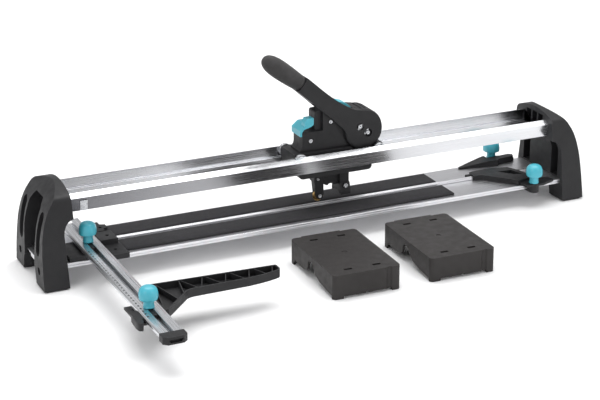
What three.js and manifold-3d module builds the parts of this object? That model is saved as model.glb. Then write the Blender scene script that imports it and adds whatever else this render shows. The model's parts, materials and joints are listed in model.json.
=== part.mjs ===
// Manual tile cutter with twin guide rails, a lever carriage and clip-on stops.
// Millimetres, +Z up, +X along the rails to the user's right, +Y away from the user.
// The cutter is laid out around its scoring line (y = 0); the last group moves the
// whole set so that the origin is the centre of its footprint on the bench.
import * as THREE from 'three';
import { mergeVertices } from 'three/addons/utils/BufferGeometryUtils.js';
import Module from 'manifold-3d';

const wasm = await Module();
wasm.setup();

// ---- driving dimensions -------------------------------------------------------
const HALF_LENGTH = 438;            // scoring line centre to the outside of a foot
const GAP = 0.3;                    // clearance between pieces that touch
const BED_TOP = 38;                 // surface that carries the tile
const FOOT_RUBBER = 2;              // rubber sole under each leg
const LEG = { footY: 70, innerY: 31, footInX: 401, headInX: 387, crown: 139.5, headY: 53, recessX: 405 };
const PLATE = { halfWidth: 58.5, bottom: 27.5, top: 34, skin: 2.6, halfLength: 433 };
const PAD = { inner: 9.5, outer: 49, left: -312, right: 218 };
const RIB = { halfWidth: 3, top: 39 };
const RAIL = { innerY: 31.4, outerY: 41.5, footY: 37.6, ledgeY: 25.4, top: 126, shoulder: 121,
  bottom: 101, ledgeTop: 110.5, ledgeBottom: 104.8, halfLength: 396 };
const FRAME = { left: -38, right: 106, halfWidth: 24.5, bottom: 97.9, top: 128 };
const WELL = { left: -9, right: 62, halfWidth: 11.8 };      // opening that the press unit slides in
const AXLE_INSET = 8;               // roller axle to the end of the carriage frame
const ROLLER = { radius: 9.5, thickness: 4.8, axleRadius: 3 };
const HOUSING = { halfWidth: 16, wall: 2.6, left: -21.5, flare: -26.5, shoulder: 157, step: 11.8, top: 186 };
const TOWER = { left: 1, right: 14, halfWidth: 10.5, top: 186.5 };
const HOUSING_SCREWS = [[-7.7, 142.9], [25.2, 168.4]];      // X and Z of the two case screws
const HUB = { x: 76.7, z: 150.8, radius: 31.2, halfWidth: 23, webInner: 26, shaftRadius: 9, round: 4.5 };
const HUB_SCREW = { offset: 8.4, radius: 3.3, recess: 6.2, depth: 3.6 };   // either side of the axis
const ARM = { rise: 39.3, seam: 122, slotEnd: 90, tail: 34 };
const GRIP = { length: 73, radius: 14.4 };
const PRESS_PIN = { x: 7, z: 78.5, radius: 2 };
const FOOT_SCREW = { x: 49.5, z: 64.7, radius: 2.3 };
const WHEEL = { x: 10.9, z: 50.8, radius: 9.2, thickness: 2.4 };
const KNOB = { height: 30.5, capRadius: 13.4, stemRadius: 7.6 };
const BAR = { left: -376, right: -345, bottom: 41.6, top: 50.6, front: -362, rear: 64, cap: 18 };
const BAR_KNOB_Y = -32;
const ARM_KNOB_Y = -281;
const STOP = { x: 350, knobY: 65, top: 42.3, padTop: 38 };
const SUPPORT = { width: 102, depth: 151, height: 35.5, wall: 3, turn: -1.5 };
const SUPPORT_PLACES = [['left', -35.5, -186.5], ['right', 113.5, -188.5]];

// ---- finishes -----------------------------------------------------------------
function finish(color, roughness, metalness) {
  return new THREE.MeshStandardMaterial({ color, roughness, metalness });
}

const FINISH = {
  plastic: () => finish(0x37383a, 0.6, 0),
  support: () => finish(0x4a4745, 0.65, 0),
  grip: () => finish(0x3d3c3c, 0.85, 0),
  rubber: () => finish(0x1d1d1e, 0.9, 0),
  foam: () => finish(0x3b3a3d, 0.95, 0),
  turquoise: () => finish(0x4bafc3, 0.4, 0),
  aluminium: () => finish(0xc9ccd0, 0.4, 0.9),
  polished: () => finish(0xd8dade, 0.12, 1),
  steel: () => finish(0xb8babd, 0.3, 1),
  brass: () => finish(0xb98d4e, 0.35, 1),
};

// ---- solids -------------------------------------------------------------------
// A closed geometry as a solid that can be joined and cut.
function solid(geometry) {
  geometry.deleteAttribute('normal');
  geometry.deleteAttribute('uv');
  const welded = mergeVertices(geometry, 1e-4);
  return new wasm.Manifold(new wasm.Mesh({
    numProp: 3,
    vertProperties: new Float32Array(welded.attributes.position.array),
    triVerts: new Uint32Array(welded.index.array),
  }));
}

const VIEWS = {
  plan: [[1, 0, 0], [0, 1, 0], [0, 0, 1]],      // outline in X and Y, depth up Z
  front: [[1, 0, 0], [0, 0, 1], [0, -1, 0]],    // outline in X and Z, depth along Y
  side: [[0, 1, 0], [0, 0, 1], [1, 0, 0]],      // outline in Y and Z, depth along X
};

// Extrudes an outline drawn in one of the three views between two planes.
function prism(view, outline, from, to, curveSegments = 6) {
  const shape = outline instanceof THREE.Shape ? outline : polygon(outline);
  const geometry = new THREE.ExtrudeGeometry(shape, { depth: to - from, bevelEnabled: false, curveSegments });
  const axes = VIEWS[view].map((axis) => new THREE.Vector3(...axis));
  geometry.applyMatrix4(new THREE.Matrix4().makeBasis(...axes));
  const start = view === 'front' ? -to : from;
  const depthAxis = axes[2].clone().multiplyScalar(start);
  geometry.translate(depthAxis.x, depthAxis.y, depthAxis.z);
  return solid(geometry);
}

function polygon(points) {
  return new THREE.Shape(points.map(([u, v]) => new THREE.Vector2(u, v)));
}

function block(x0, x1, y0, y1, z0, z1) {
  const geometry = new THREE.BoxGeometry(x1 - x0, y1 - y0, z1 - z0);
  geometry.translate((x0 + x1) / 2, (y0 + y1) / 2, (z0 + z1) / 2);
  return solid(geometry);
}

// A cylinder between two values of one axis, at a point of the other two.
function rod(axis, radius, from, to, u, v, segments = 24) {
  const geometry = new THREE.CylinderGeometry(radius, radius, to - from, segments);
  const middle = (from + to) / 2;
  if (axis === 'x') geometry.rotateZ(Math.PI / 2).translate(middle, u, v);
  if (axis === 'y') geometry.translate(u, middle, v);
  if (axis === 'z') geometry.rotateX(Math.PI / 2).translate(u, v, middle);
  return solid(geometry);
}

// A solid of revolution about Z from [radius, height] points that start and end on the axis.
function turned(profile, segments = 24) {
  const points = profile.map(([radius, height]) => new THREE.Vector2(radius, height));
  const geometry = new THREE.LatheGeometry(points, segments);
  geometry.rotateX(Math.PI / 2);
  return solid(geometry);
}

const union = (...parts) => parts.reduce((whole, part) => whole.add(part));
const cut = (whole, ...tools) => tools.reduce((rest, tool) => rest.subtract(tool), whole);

// A named mesh of one solid, ready to be placed in a group.
function piece(name, body, material) {
  const { vertProperties, triVerts } = body.getMesh();
  const geometry = new THREE.BufferGeometry();
  geometry.setAttribute('position', new THREE.BufferAttribute(new Float32Array(vertProperties), 3));
  geometry.setIndex(new THREE.BufferAttribute(new Uint32Array(triVerts), 1));
  const mesh = new THREE.Mesh(geometry, material());
  mesh.name = name;
  return mesh;
}

function assembly(...children) {
  const group = new THREE.Group();
  group.add(...children);
  return group;
}

const mirrorY = (points) => points.map(([y, z]) => [-y, z]).reverse();
const mirrorX = (body) => body.mirror([1, 0, 0]);

// ---- end frames ---------------------------------------------------------------
// Front view of the right frame: a leg that leans in, a rounded head and a stepped inner edge.
function endFrameFront() {
  const step = 97;
  const shape = new THREE.Shape();
  shape.moveTo(LEG.footInX, FOOT_RUBBER);
  shape.lineTo(HALF_LENGTH, FOOT_RUBBER);
  shape.quadraticCurveTo(HALF_LENGTH - 0.2, 40, HALF_LENGTH - 3.5, 70);
  shape.quadraticCurveTo(HALF_LENGTH - 8, 103, HALF_LENGTH - 20, 119);
  shape.quadraticCurveTo(HALF_LENGTH - 29, 134, LEG.headInX + 10, LEG.crown);
  shape.lineTo(LEG.headInX + 1, LEG.crown);
  shape.lineTo(LEG.headInX, step);
  shape.quadraticCurveTo(LEG.footInX - 2, step - 1, LEG.footInX + 1, step - 19);
  return shape;
}

// Side view: two legs, splayed towards the feet, under a crowned bridge.
function endFrameSide() {
  const brow = 131.5;                 // height where the crown turns down into the legs
  const underBridge = 26.5;
  const shape = new THREE.Shape();
  shape.moveTo(-LEG.footY, FOOT_RUBBER);
  shape.lineTo(-LEG.headY, brow - 9.5);
  shape.quadraticCurveTo(-LEG.headY + 0.5, brow - 3, -LEG.headY + 9, brow);
  shape.quadraticCurveTo(-20, LEG.crown, 0, LEG.crown);
  shape.quadraticCurveTo(20, LEG.crown, LEG.headY - 9, brow);
  shape.quadraticCurveTo(LEG.headY - 0.5, brow - 3, LEG.headY, brow - 9.5);
  shape.lineTo(LEG.footY, FOOT_RUBBER);
  shape.lineTo(LEG.innerY, FOOT_RUBBER);
  shape.quadraticCurveTo(LEG.innerY - 3, underBridge - 0.5, LEG.innerY - 8, underBridge);
  shape.lineTo(-LEG.innerY + 8, underBridge);
  shape.quadraticCurveTo(-LEG.innerY + 3, underBridge - 0.5, -LEG.innerY, FOOT_RUBBER);
  return shape;
}

function railOutline(side, grow) {
  const points = [
    [RAIL.ledgeY - grow, RAIL.ledgeBottom - grow], [RAIL.innerY - grow, RAIL.ledgeBottom - grow],
    [RAIL.innerY - grow, RAIL.bottom - grow], [RAIL.footY + grow, RAIL.bottom - grow],
    [RAIL.outerY + grow, RAIL.shoulder + grow], [RAIL.innerY - grow, RAIL.top + grow],
    [RAIL.innerY - grow, RAIL.ledgeTop + grow], [RAIL.ledgeY - grow, RAIL.ledgeTop + grow],
  ];
  return side > 0 ? points : mirrorY(points);
}

// A round-ended vertical slot in the outer face of a leg, centred at y.
function legSlot(y) {
  const [low, high, radius, depth] = [45, 108, 8.2, 15];
  const [from, to] = [HALF_LENGTH - depth, HALF_LENGTH + 2];
  const ends = [low + radius, high - radius].map((z) => rod('x', radius, from, to, y, z, 20));
  return union(block(from, to, y - radius, y + radius, low + radius, high - radius), ...ends);
}

// The hollow of a leg, open towards the bed beside the web that joins both legs.
function legPocket(side) {
  const [near, far] = [31, 50];
  const [from, to] = side > 0 ? [near, far] : [-far, -near];
  return block(LEG.headInX - 3, LEG.recessX + 12, from, to, PLATE.top + 3, 92);
}

function endFrame() {
  const start = LEG.headInX - 3;
  const outer = prism('front', endFrameFront(), -LEG.footY - 1, LEG.footY + 1);
  const body = prism('side', endFrameSide(), LEG.headInX - 2, HALF_LENGTH + 1).intersect(outer);
  const recess = prism('side', [[-24, 38], [24, 38], [27, 70], [25, 108], [16, 121], [-16, 121], [-25, 108],
    [-27, 70]], LEG.recessX, HALF_LENGTH + 2);
  const archway = block(PLATE.halfLength - 6, HALF_LENGTH + 2, -24, 24, 26, 39);
  const platePocket = block(start, PLATE.halfLength + GAP, -PLATE.halfWidth - GAP, PLATE.halfWidth + GAP,
    PLATE.bottom - GAP, PLATE.top + GAP);
  const ribPocket = block(start, LEG.footInX + 3, -RIB.halfWidth - GAP, RIB.halfWidth + GAP,
    PLATE.top, RIB.top + GAP);
  const headPockets = [-17, 0, 17].map((y) => block(start, LEG.headInX + 9, y - 6.5, y + 6.5, 108, 131));
  const slots = [-1, 1].map((side) => legSlot(side * 40));
  const holes = [-1, 1].map((side) => rod('x', 5.6, HALF_LENGTH - 16, HALF_LENGTH + 2, side * 46, 25));
  const corners = [-1, 1].map((side) => legPocket(side));
  const sockets = [-1, 1].map((side) => prism('side', railOutline(side, GAP), start, RAIL.halfLength + GAP));
  return cut(body, recess, archway, platePocket, ribPocket, ...headPockets, ...slots, ...holes, ...corners,
    ...sockets);
}

function rubberFoot() {
  const corner = 4;
  const shape = new THREE.Shape();
  const [left, right, front, rear] = [LEG.footInX + 2, HALF_LENGTH - 2.5, LEG.innerY + 3, LEG.footY - 2];
  shape.moveTo(left + corner, front);
  shape.lineTo(right - corner, front);
  shape.absarc(right - corner, front + corner, corner, -Math.PI / 2, 0);
  shape.absarc(right - corner, rear - corner, corner, 0, Math.PI / 2);
  shape.absarc(left + corner, rear - corner, corner, Math.PI / 2, Math.PI);
  shape.absarc(left + corner, front + corner, corner, Math.PI, 1.5 * Math.PI);
  return prism('plan', shape, 0, FOOT_RUBBER - GAP, 3);
}

function endFrames() {
  const parts = [];
  for (const [side, word] of [[-1, 'left'], [1, 'right']]) {
    const frame = side > 0 ? endFrame() : mirrorX(endFrame());
    parts.push(piece(`end_frame_${word}`, frame, FINISH.plastic));
    for (const [depth, place] of [[-1, 'front'], [1, 'rear']]) {
      let sole = rubberFoot();
      if (side < 0) sole = mirrorX(sole);
      if (depth < 0) sole = sole.mirror([0, 1, 0]);
      parts.push(piece(`foot_${word}_${place}`, sole, FINISH.rubber));
    }
  }
  return parts;
}

// ---- base plate and bed -------------------------------------------------------
function basePlate() {
  const { halfWidth, bottom, top, skin, halfLength } = PLATE;
  const half = [
    [8, bottom], [8, top - skin], [50, top - skin], [50, bottom], [halfWidth, bottom],
    [halfWidth, bottom + 2.4], [halfWidth - 0.8, bottom + 2.8], [halfWidth - 0.8, bottom + 3.4],
    [halfWidth, bottom + 3.8], [halfWidth, top - 0.6], [halfWidth - 0.6, top],
  ];
  return prism('side', [...half, ...mirrorY(half)], -halfLength, halfLength);
}

function breakingRib() {
  const { halfWidth, top } = RIB;
  const outline = [[-halfWidth, PLATE.top + GAP], [halfWidth, PLATE.top + GAP], [halfWidth, top - 2],
    [1, top], [-1, top],
    [-halfWidth, top - 2]];
  return prism('side', outline, PAD.left + 1, LEG.footInX);
}

function bedPad(side) {
  const [near, far] = side > 0 ? [PAD.inner, PAD.outer] : [-PAD.outer, -PAD.inner];
  return block(PAD.left, PAD.right, near, far, PLATE.top + GAP, BED_TOP);
}

function bed() {
  return [
    piece('base_plate', basePlate(), FINISH.aluminium),
    piece('breaking_rib', breakingRib(), FINISH.aluminium),
    piece('pad_front', bedPad(-1), FINISH.foam),
    piece('pad_rear', bedPad(1), FINISH.foam),
  ];
}

// ---- rails --------------------------------------------------------------------
function rails() {
  const rail = (side) => prism('side', railOutline(side, 0), -RAIL.halfLength, RAIL.halfLength);
  return [
    piece('rail_front', rail(-1), FINISH.polished),
    piece('rail_rear', rail(1), FINISH.polished),
    piece('rail_clip', railClip(), FINISH.steel),
  ];
}

// A small knurled clip that hugs the front rail's outer face beside the left frame.
function railClip() {
  const lean = (RAIL.outerY - RAIL.footY) / (RAIL.shoulder - RAIL.bottom);
  const faceY = (z) => -RAIL.footY - lean * (z - RAIL.bottom) - GAP;
  const [low, high, thickness] = [102, 117, 1.6];
  const outline = [[faceY(low), low], [faceY(high), high], [faceY(high) - thickness, high],
    [faceY(low) - thickness, low]];
  return prism('side', outline.reverse(), -372, -361);
}

// ---- fence and carrier of the stop bar ----------------------------------------
function fenceBlock() {
  const [left, right, floor] = [-343.5, -314, PLATE.top + GAP];
  const low = block(left, right, -74, 42, floor, 42);
  const middle = block(left, right - 3, -34, -1, floor, 50);
  const rear = block(left, right - 9, 6, 42, floor, 48);
  const noseRear = prism('plan', [[right - 9, 18], [right, 22], [right, 34], [right - 9, 38]], floor, 46);
  const slot = block(left - 1, right + 1, RIB.halfWidth - 1, RIB.halfWidth + 3, 42, 60);
  const places = [[-326, 20], [-328, -18], [-328, -54]];
  const holes = places.map(([x, y]) => rod('z', 2.6, floor + 2, 60, x, y, 16));
  return cut(union(low, middle, rear, noseRear), slot, ...holes);
}

// The bracket that carries the stop bar, on the front of the plate.
function barCarrier() {
  const top = block(-396, -346, -PLATE.halfWidth + 1.5, -8, PLATE.top + GAP, BAR.bottom - GAP);
  const ledge = block(-393, -346, -8, 6, PLATE.top + GAP, BAR.bottom - 3);
  const bolt = rod('z', 3.3, PLATE.top, BAR.top, (BAR.left + BAR.right) / 2, BAR_KNOB_Y, 16);
  return cut(union(top, ledge), bolt);
}

// ---- stop bar -----------------------------------------------------------------
const BAR_X = (BAR.left + BAR.right) / 2;
const GROOVE = { mouth: 3.6, width: 6.8, floor: BAR.bottom + 2.6, lip: BAR.top - 2 };

// An extrusion with a T-shaped groove along its top and a rounded left flank.
function stopBar() {
  const shape = new THREE.Shape();
  shape.moveTo(BAR.left + 3, BAR.bottom);
  shape.lineTo(BAR.right, BAR.bottom);
  shape.lineTo(BAR.right, BAR.top);
  shape.lineTo(BAR_X + GROOVE.mouth, BAR.top);
  shape.lineTo(BAR_X + GROOVE.mouth, GROOVE.lip);
  shape.lineTo(BAR_X + GROOVE.width, GROOVE.lip);
  shape.lineTo(BAR_X + GROOVE.width, GROOVE.floor);
  shape.lineTo(BAR_X - GROOVE.width, GROOVE.floor);
  shape.lineTo(BAR_X - GROOVE.width, GROOVE.lip);
  shape.lineTo(BAR_X - GROOVE.mouth, GROOVE.lip);
  shape.lineTo(BAR_X - GROOVE.mouth, BAR.top);
  shape.lineTo(BAR.left + 4, BAR.top);
  shape.quadraticCurveTo(BAR.left, BAR.top - 0.5, BAR.left, BAR.top - 4);
  shape.lineTo(BAR.left, BAR.bottom + 3);
  return prism('front', shape, BAR.front, BAR.rear);
}

function barEndCap() {
  const front = BAR.front - GAP - BAR.cap;
  const outline = [[BAR.left - 1, BAR.front - GAP], [BAR.left - 1, front + 5], [BAR.left + 5, front],
    [BAR.right - 5, front],
    [BAR.right + 1, front + 5], [BAR.right + 1, BAR.front - GAP]];
  const body = prism('plan', outline, BAR.bottom - 0.6, BAR.top + 0.6);
  const mouth = prism('front', [[BAR_X - 10, BAR.top - 3], [BAR_X - 7, BAR.bottom + 2],
    [BAR_X + 7, BAR.bottom + 2],
    [BAR_X + 10, BAR.top - 3]], front - 1, front + 4);
  return cut(body, mouth);
}

// A dark slide that fills the groove beside a clamping knob; its stud carries the knob.
function grooveSlide(knobY, tail) {
  const nut = block(BAR_X - GROOVE.width + GAP, BAR_X + GROOVE.width - GAP, knobY - tail, knobY + 9,
    GROOVE.floor + GAP, GROOVE.lip - GAP);
  const fill = block(BAR_X - GROOVE.mouth + GAP, BAR_X + GROOVE.mouth - GAP, knobY - tail, knobY + 9,
    GROOVE.floor + GAP, BAR.top - 1);
  const stud = rod('z', 3, GROOVE.floor + 1, BAR.top + 8, BAR_X, knobY, 16);
  return union(nut, fill, stud);
}

// ---- knobs --------------------------------------------------------------------
// A mushroom knob on a round stem, with a blind bore for the stud, standing on z = 0.
function knob(boreDepth) {
  const { height, capRadius, stemRadius } = KNOB;
  const capFoot = height * 0.42;
  const profile = [[0, boreDepth], [3.4, boreDepth], [3.4, 0], [stemRadius - 0.5, 0], [stemRadius, 1],
    [stemRadius - 0.7, capFoot - 1], [capRadius - 2.2, capFoot], [capRadius, capFoot + 3.2],
    [capRadius - 0.2, height * 0.68], [capRadius - 2.6, height * 0.84], [capRadius - 7, height * 0.96],
    [0, height]];
  return turned(profile, 20);
}

function placedKnob(name, x, y, z) {
  const mesh = piece(name, knob(9), FINISH.turquoise);
  mesh.position.set(x, y, z);
  return mesh;
}

// ---- stop arm -----------------------------------------------------------------
const STOP_ARM = { bottom: BAR.bottom - 3.6, top: BAR.top - 0.4, tipX: -155.5, rear: -210, wall: 2, rib: 1.3,
  front: -247.5, rootFront: -296, floor: 2.4 };

// The arm's outline in plan: broad at the bar, a long even blade and a rounded tip.
function armOutline() {
  const { tipX, rear, front, rootFront } = STOP_ARM;
  const root = BAR.right + GAP;
  const shape = new THREE.Shape();
  shape.moveTo(root, rootFront);
  shape.lineTo(root + 6, rootFront);
  shape.lineTo(root + 48, front - 4);
  shape.quadraticCurveTo(root + 53, front, root + 62, front);
  shape.lineTo(tipX - 52, front + 0.5);
  shape.quadraticCurveTo(tipX - 20, front + 3, tipX - 4, front + 10);
  shape.quadraticCurveTo(tipX, front + 12, tipX, front + 16);
  shape.lineTo(tipX, rear - 12);
  shape.quadraticCurveTo(tipX, rear - 9, tipX - 4, rear - 9);
  shape.lineTo(root + 12, rear);
  shape.lineTo(root, rear - 6);
  return shape;
}

// The part of a body that lies at least one wall thickness inside its sides.
function insetInPlan(body, wall) {
  const slant = wall * Math.SQRT1_2;
  const moves = [[wall, 0], [-wall, 0], [0, wall], [0, -wall], [slant, slant], [slant, -slant],
    [-slant, slant],
    [-slant, -slant]];
  return moves.map(([x, y]) => body.translate([x, y, 0])).reduce((rest, moved) => rest.intersect(moved));
}

// Thin ribs that zigzag along the inside of the arm from edge to edge.
function armRibs(low, high) {
  const { tipX, rear, front, rootFront, rib } = STOP_ARM;
  const pitch = 17;
  const ribs = [];
  let towardsRear = true;
  for (let x = BAR.right; x < tipX - pitch; x += pitch) {
    const near = x < BAR.right + 40 ? rootFront : front - 4;
    const [from, to] = towardsRear ? [near, rear] : [rear, near];
    const outline = [[x, from], [x + rib, from], [x + pitch + rib, to], [x + pitch, to]];
    ribs.push(prism('plan', towardsRear ? outline : outline.reverse(), low, high));
    towardsRear = !towardsRear;
  }
  return union(...ribs);
}

// The rounded tab that grips the bar's left flank.
function armTab() {
  const left = BAR.left - GAP;
  const shape = new THREE.Shape();
  shape.moveTo(left, ARM_KNOB_Y + 2);
  shape.quadraticCurveTo(left - 9, ARM_KNOB_Y + 2, left - 11, ARM_KNOB_Y - 7);
  shape.lineTo(left - 12.5, ARM_KNOB_Y - 28);
  shape.quadraticCurveTo(left - 12.5, ARM_KNOB_Y - 40, left - 7, ARM_KNOB_Y - 40);
  shape.quadraticCurveTo(left - 3, ARM_KNOB_Y - 37, left - 3, ARM_KNOB_Y - 26);
  shape.lineTo(left, ARM_KNOB_Y - 25);
  return prism('plan', shape, STOP_ARM.bottom, BAR.top - 2);
}

function stopArm() {
  const { bottom, top, wall, floor } = STOP_ARM;
  const blade = prism('plan', armOutline(), bottom, top);
  const tall = prism('plan', armOutline(), bottom + floor, top + 1);
  const pocket = insetInPlan(tall, wall);
  const ribs = armRibs(bottom + floor - 1, top - 1).intersect(blade);
  const saddle = block(BAR.left - 7, BAR.right + 6, ARM_KNOB_Y - 25, ARM_KNOB_Y + 34, bottom,
    BAR.bottom - GAP);
  return union(cut(blade, pocket), ribs, saddle, armTab());
}

function barSet() {
  return assembly(
    piece('stop_bar', stopBar(), FINISH.aluminium),
    piece('bar_end_cap', barEndCap(), FINISH.plastic),
    piece('bar_slide', grooveSlide(BAR_KNOB_Y, 22), FINISH.plastic),
    piece('arm_slide', grooveSlide(ARM_KNOB_Y, 24), FINISH.plastic),
    piece('stop_arm', stopArm(), FINISH.plastic),
    placedKnob('bar_knob', BAR_X, BAR_KNOB_Y, BAR.top + GAP),
    placedKnob('arm_knob', BAR_X, ARM_KNOB_Y, BAR.top + GAP),
  );
}

// ---- corner stops at the right ------------------------------------------------
const STOP_FLOOR = PLATE.top + GAP;

// The flat foot under a knob, from which a stop's nose grows. Drawn for the rear.
function stopFoot() {
  const [x, y] = [STOP.x, STOP.knobY];
  const wing = prism('plan', [[x - 20, y - 15], [x + 10, y - 22], [x + 34, y - 14], [x + 37, y - 2],
    [x + 12, y + 8],
    [x - 16, y + 6]], STOP_FLOOR, STOP.padTop);
  return union(wing, rod('z', 8, STOP_FLOOR, STOP.padTop, x, y));
}

function studHole(side) {
  return rod('z', 3.3, STOP_FLOOR - 1, STOP.padTop + 9, STOP.x, side * STOP.knobY, 16);
}

// The front stop reaches across the scoring line and ends in a small round nub.
function frontStop() {
  const { top } = STOP;
  const body = prism('plan', [[277, -6], [290, -10], [308, -31], [328, -55], [352, -50], [358, -34],
    [353, -12],
    [345, 6], [316, 14], [279, 12]], STOP_FLOOR, top);
  const chamfer = prism('front', [[270, top + 1], [270, top - 2.5], [290, top + 1]], -20, 20);
  const pocket = prism('plan', [[320, -6], [343, -8], [350, -32], [336, -27]], STOP_FLOOR + 2.5, top + 1);
  const ribRoom = block(260, 400, -RIB.halfWidth - GAP, RIB.halfWidth + GAP, PLATE.top, RIB.top + GAP);
  const nub = rod('x', 2.8, 270, 280, 7, STOP_FLOOR + 3.2, 16);
  return cut(union(cut(body, chamfer), stopFoot().mirror([0, 1, 0]), nub), pocket, ribRoom, studHole(-1));
}

// The rear stop is a long wedge with a hooked block beside the end frame.
function rearStop() {
  const wedgeTop = 44;
  const wedge = prism('plan', [[281, 48], [346, 37], [354, 44], [354, 66], [328, 64], [300, 57], [282, 52]],
    STOP_FLOOR, wedgeTop);
  const slope = prism('front', [[270, wedgeTop + 1], [270, STOP_FLOOR + 1.8], [281, STOP_FLOOR + 2.4],
    [334, wedgeTop], [334, wedgeTop + 1]], 20, 80);
  const step = block(336, 380, 55, 80, STOP.padTop, wedgeTop + 1);
  const hook = prism('plan', [[352, 42], [379, 45], [382, 53], [376, 57], [352, 55]], STOP_FLOOR, wedgeTop);
  return cut(union(cut(wedge, slope, step), hook, stopFoot()), studHole(1));
}

// The jaw that the knob's stud draws up under the plate's lip.
function clampJaw() {
  const outer = PLATE.halfWidth + GAP;
  const foot = 24;
  const upright = block(STOP.x - 8, STOP.x + 8, outer, outer + 8, foot, PLATE.top);
  const round = rod('z', 8, foot, PLATE.top, STOP.x, STOP.knobY);
  const behind = block(STOP.x - 20, STOP.x + 20, outer - 30, outer, foot - 3, PLATE.top + 6);
  const lip = block(STOP.x - 8, STOP.x + 8, outer - 7, outer + 1, foot, PLATE.bottom - GAP);
  const stud = rod('z', 3, PLATE.top - 1, STOP.padTop + 8, STOP.x, STOP.knobY, 16);
  return union(cut(round, behind), upright, lip, stud);
}

function cornerStops() {
  const parts = [];
  for (const [side, word, body] of [[-1, 'front', frontStop()], [1, 'rear', rearStop()]]) {
    const jaw = side > 0 ? clampJaw() : clampJaw().mirror([0, 1, 0]);
    parts.push(piece(`stop_${word}`, body, FINISH.plastic));
    parts.push(piece(`stop_${word}_jaw`, jaw, FINISH.plastic));
    parts.push(placedKnob(`stop_${word}_knob`, STOP.x, side * STOP.knobY, STOP.padTop + GAP));
  }
  return parts;
}

// ---- carriage -----------------------------------------------------------------
const AXLES = [{ word: 'left', x: FRAME.left + AXLE_INSET }, { word: 'right', x: FRAME.right - AXLE_INSET }];
const AXLE_Z = RAIL.ledgeTop + 0.2 + ROLLER.radius;

// The chassis between the rails, with a well for the press unit and bores for the axles.
function carriageFrame() {
  const body = block(FRAME.left, FRAME.right, -FRAME.halfWidth, FRAME.halfWidth, FRAME.bottom, FRAME.top);
  const well = block(WELL.left, WELL.right, -WELL.halfWidth, WELL.halfWidth, FRAME.bottom - 1, FRAME.top + 1);
  const hubRoom = rod('y', HUB.radius + 1, -30, 30, HUB.x, HUB.z, 32);
  const bores = AXLES.map(({ x }) => rod('y', ROLLER.axleRadius + GAP, -30, 30, x, AXLE_Z, 16));
  return cut(body, well, hubRoom, ...bores);
}

function lowerPlate() {
  const [left, right, width] = [-33, 86, 30];
  const corner = 7;
  const shape = new THREE.Shape();
  shape.moveTo(left + corner, 90.5);
  shape.lineTo(right - corner, 90.5);
  shape.quadraticCurveTo(right, 90.5, right, 97.5);
  shape.lineTo(left, 97.5);
  shape.quadraticCurveTo(left, 90.5, left + corner, 90.5);
  const well = block(WELL.left, WELL.right, -WELL.halfWidth, WELL.halfWidth, 89, 99);
  return cut(prism('front', shape, -width, width), well);
}

// Front view of the housing: a flared block, a raised box behind a step and a neck to the hub.
function housingOutline() {
  const { left, flare, shoulder, step, top } = HOUSING;
  const foot = FRAME.top + GAP;
  const shape = new THREE.Shape();
  shape.moveTo(flare, foot);
  shape.lineTo(flare, foot + 1.5);
  shape.quadraticCurveTo(left - 0.5, foot + 4, left, foot + 10);
  shape.lineTo(left, shoulder);
  shape.lineTo(step, shoulder);
  shape.lineTo(step, top - 1);
  shape.lineTo(step + 1.5, top);
  shape.lineTo(27, top - 7.4);
  shape.lineTo(47, top - 17);
  shape.lineTo(HUB.x - 20, HUB.z + 12);
  shape.lineTo(HUB.x - 7, HUB.z - 12);
  shape.lineTo(84, HUB.z - 9);
  shape.lineTo(84, foot);
  return shape;
}

// The narrow tower at the left of the raised box, with a rounded outer corner.
function towerOutline() {
  const { left, right, top } = TOWER;
  const shape = new THREE.Shape();
  shape.moveTo(left, HOUSING.shoulder - 1);
  shape.lineTo(left, top - 4);
  shape.quadraticCurveTo(left, top, left + 4, top);
  shape.lineTo(right, top);
  shape.lineTo(right, HOUSING.shoulder - 1);
  return shape;
}

// One half of the housing, from its outer face to the split plane.
function housingHalf() {
  const { halfWidth, wall, left, shoulder, step } = HOUSING;
  const inside = halfWidth - wall;
  const neckRadius = HUB.webInner - 1;
  const shell = prism('front', housingOutline(), -halfWidth, -GAP / 2);
  const tower = prism('front', towerOutline(), -TOWER.halfWidth, -GAP / 2);
  const neck = rod('y', neckRadius, -halfWidth, -GAP / 2, HUB.x, HUB.z, 32);
  const cheekRoom = cut(rod('y', HUB.radius + 1, -halfWidth - 1, 1, HUB.x, HUB.z, 32),
    rod('y', neckRadius, -halfWidth - 2, 2, HUB.x, HUB.z, 32),
    block(HUB.x - 60, HUB.x - 17, -30, 30, 100, 200));
  const cavity = union(block(left + wall, 54, -inside, 1, FRAME.top - 1, shoulder - wall),
    block(step + wall, 27, -inside, 1, shoulder - wall - 1, 175),
    block(TOWER.left + wall, TOWER.right, -TOWER.halfWidth + wall, 1, shoulder - wall - 1, TOWER.top - wall),
    rod('y', neckRadius - wall, -inside, 1, HUB.x, HUB.z, 32));
  const shaft = rod('y', HUB.shaftRadius + GAP, -halfWidth - 1, 1, HUB.x, HUB.z);
  const screws = HOUSING_SCREWS.map(([x, z]) => rod('y', 3.6, -halfWidth - 1, -halfWidth + 2.2, x, z, 20));
  const underside = block(-60, 120, -30, 2, 90, FRAME.top + GAP);
  return cut(union(shell, tower, neck), cheekRoom, cavity, shaft, ...screws, underside);
}

// A cross-head cap screw seen from the front, its head flush in its recess.
function capScrew(radius, headY, length) {
  const head = rod('y', radius, headY, headY + 1.6, 0, 0, 20);
  const driver = union(block(-radius * 0.6, radius * 0.6, headY - 1, headY + 0.8, -0.5, 0.5),
    block(-0.5, 0.5, headY - 1, headY + 0.8, -radius * 0.6, radius * 0.6));
  const shank = rod('y', radius * 0.45, headY + 1, headY + length, 0, 0, 12);
  return cut(union(head, shank), driver);
}

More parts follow.
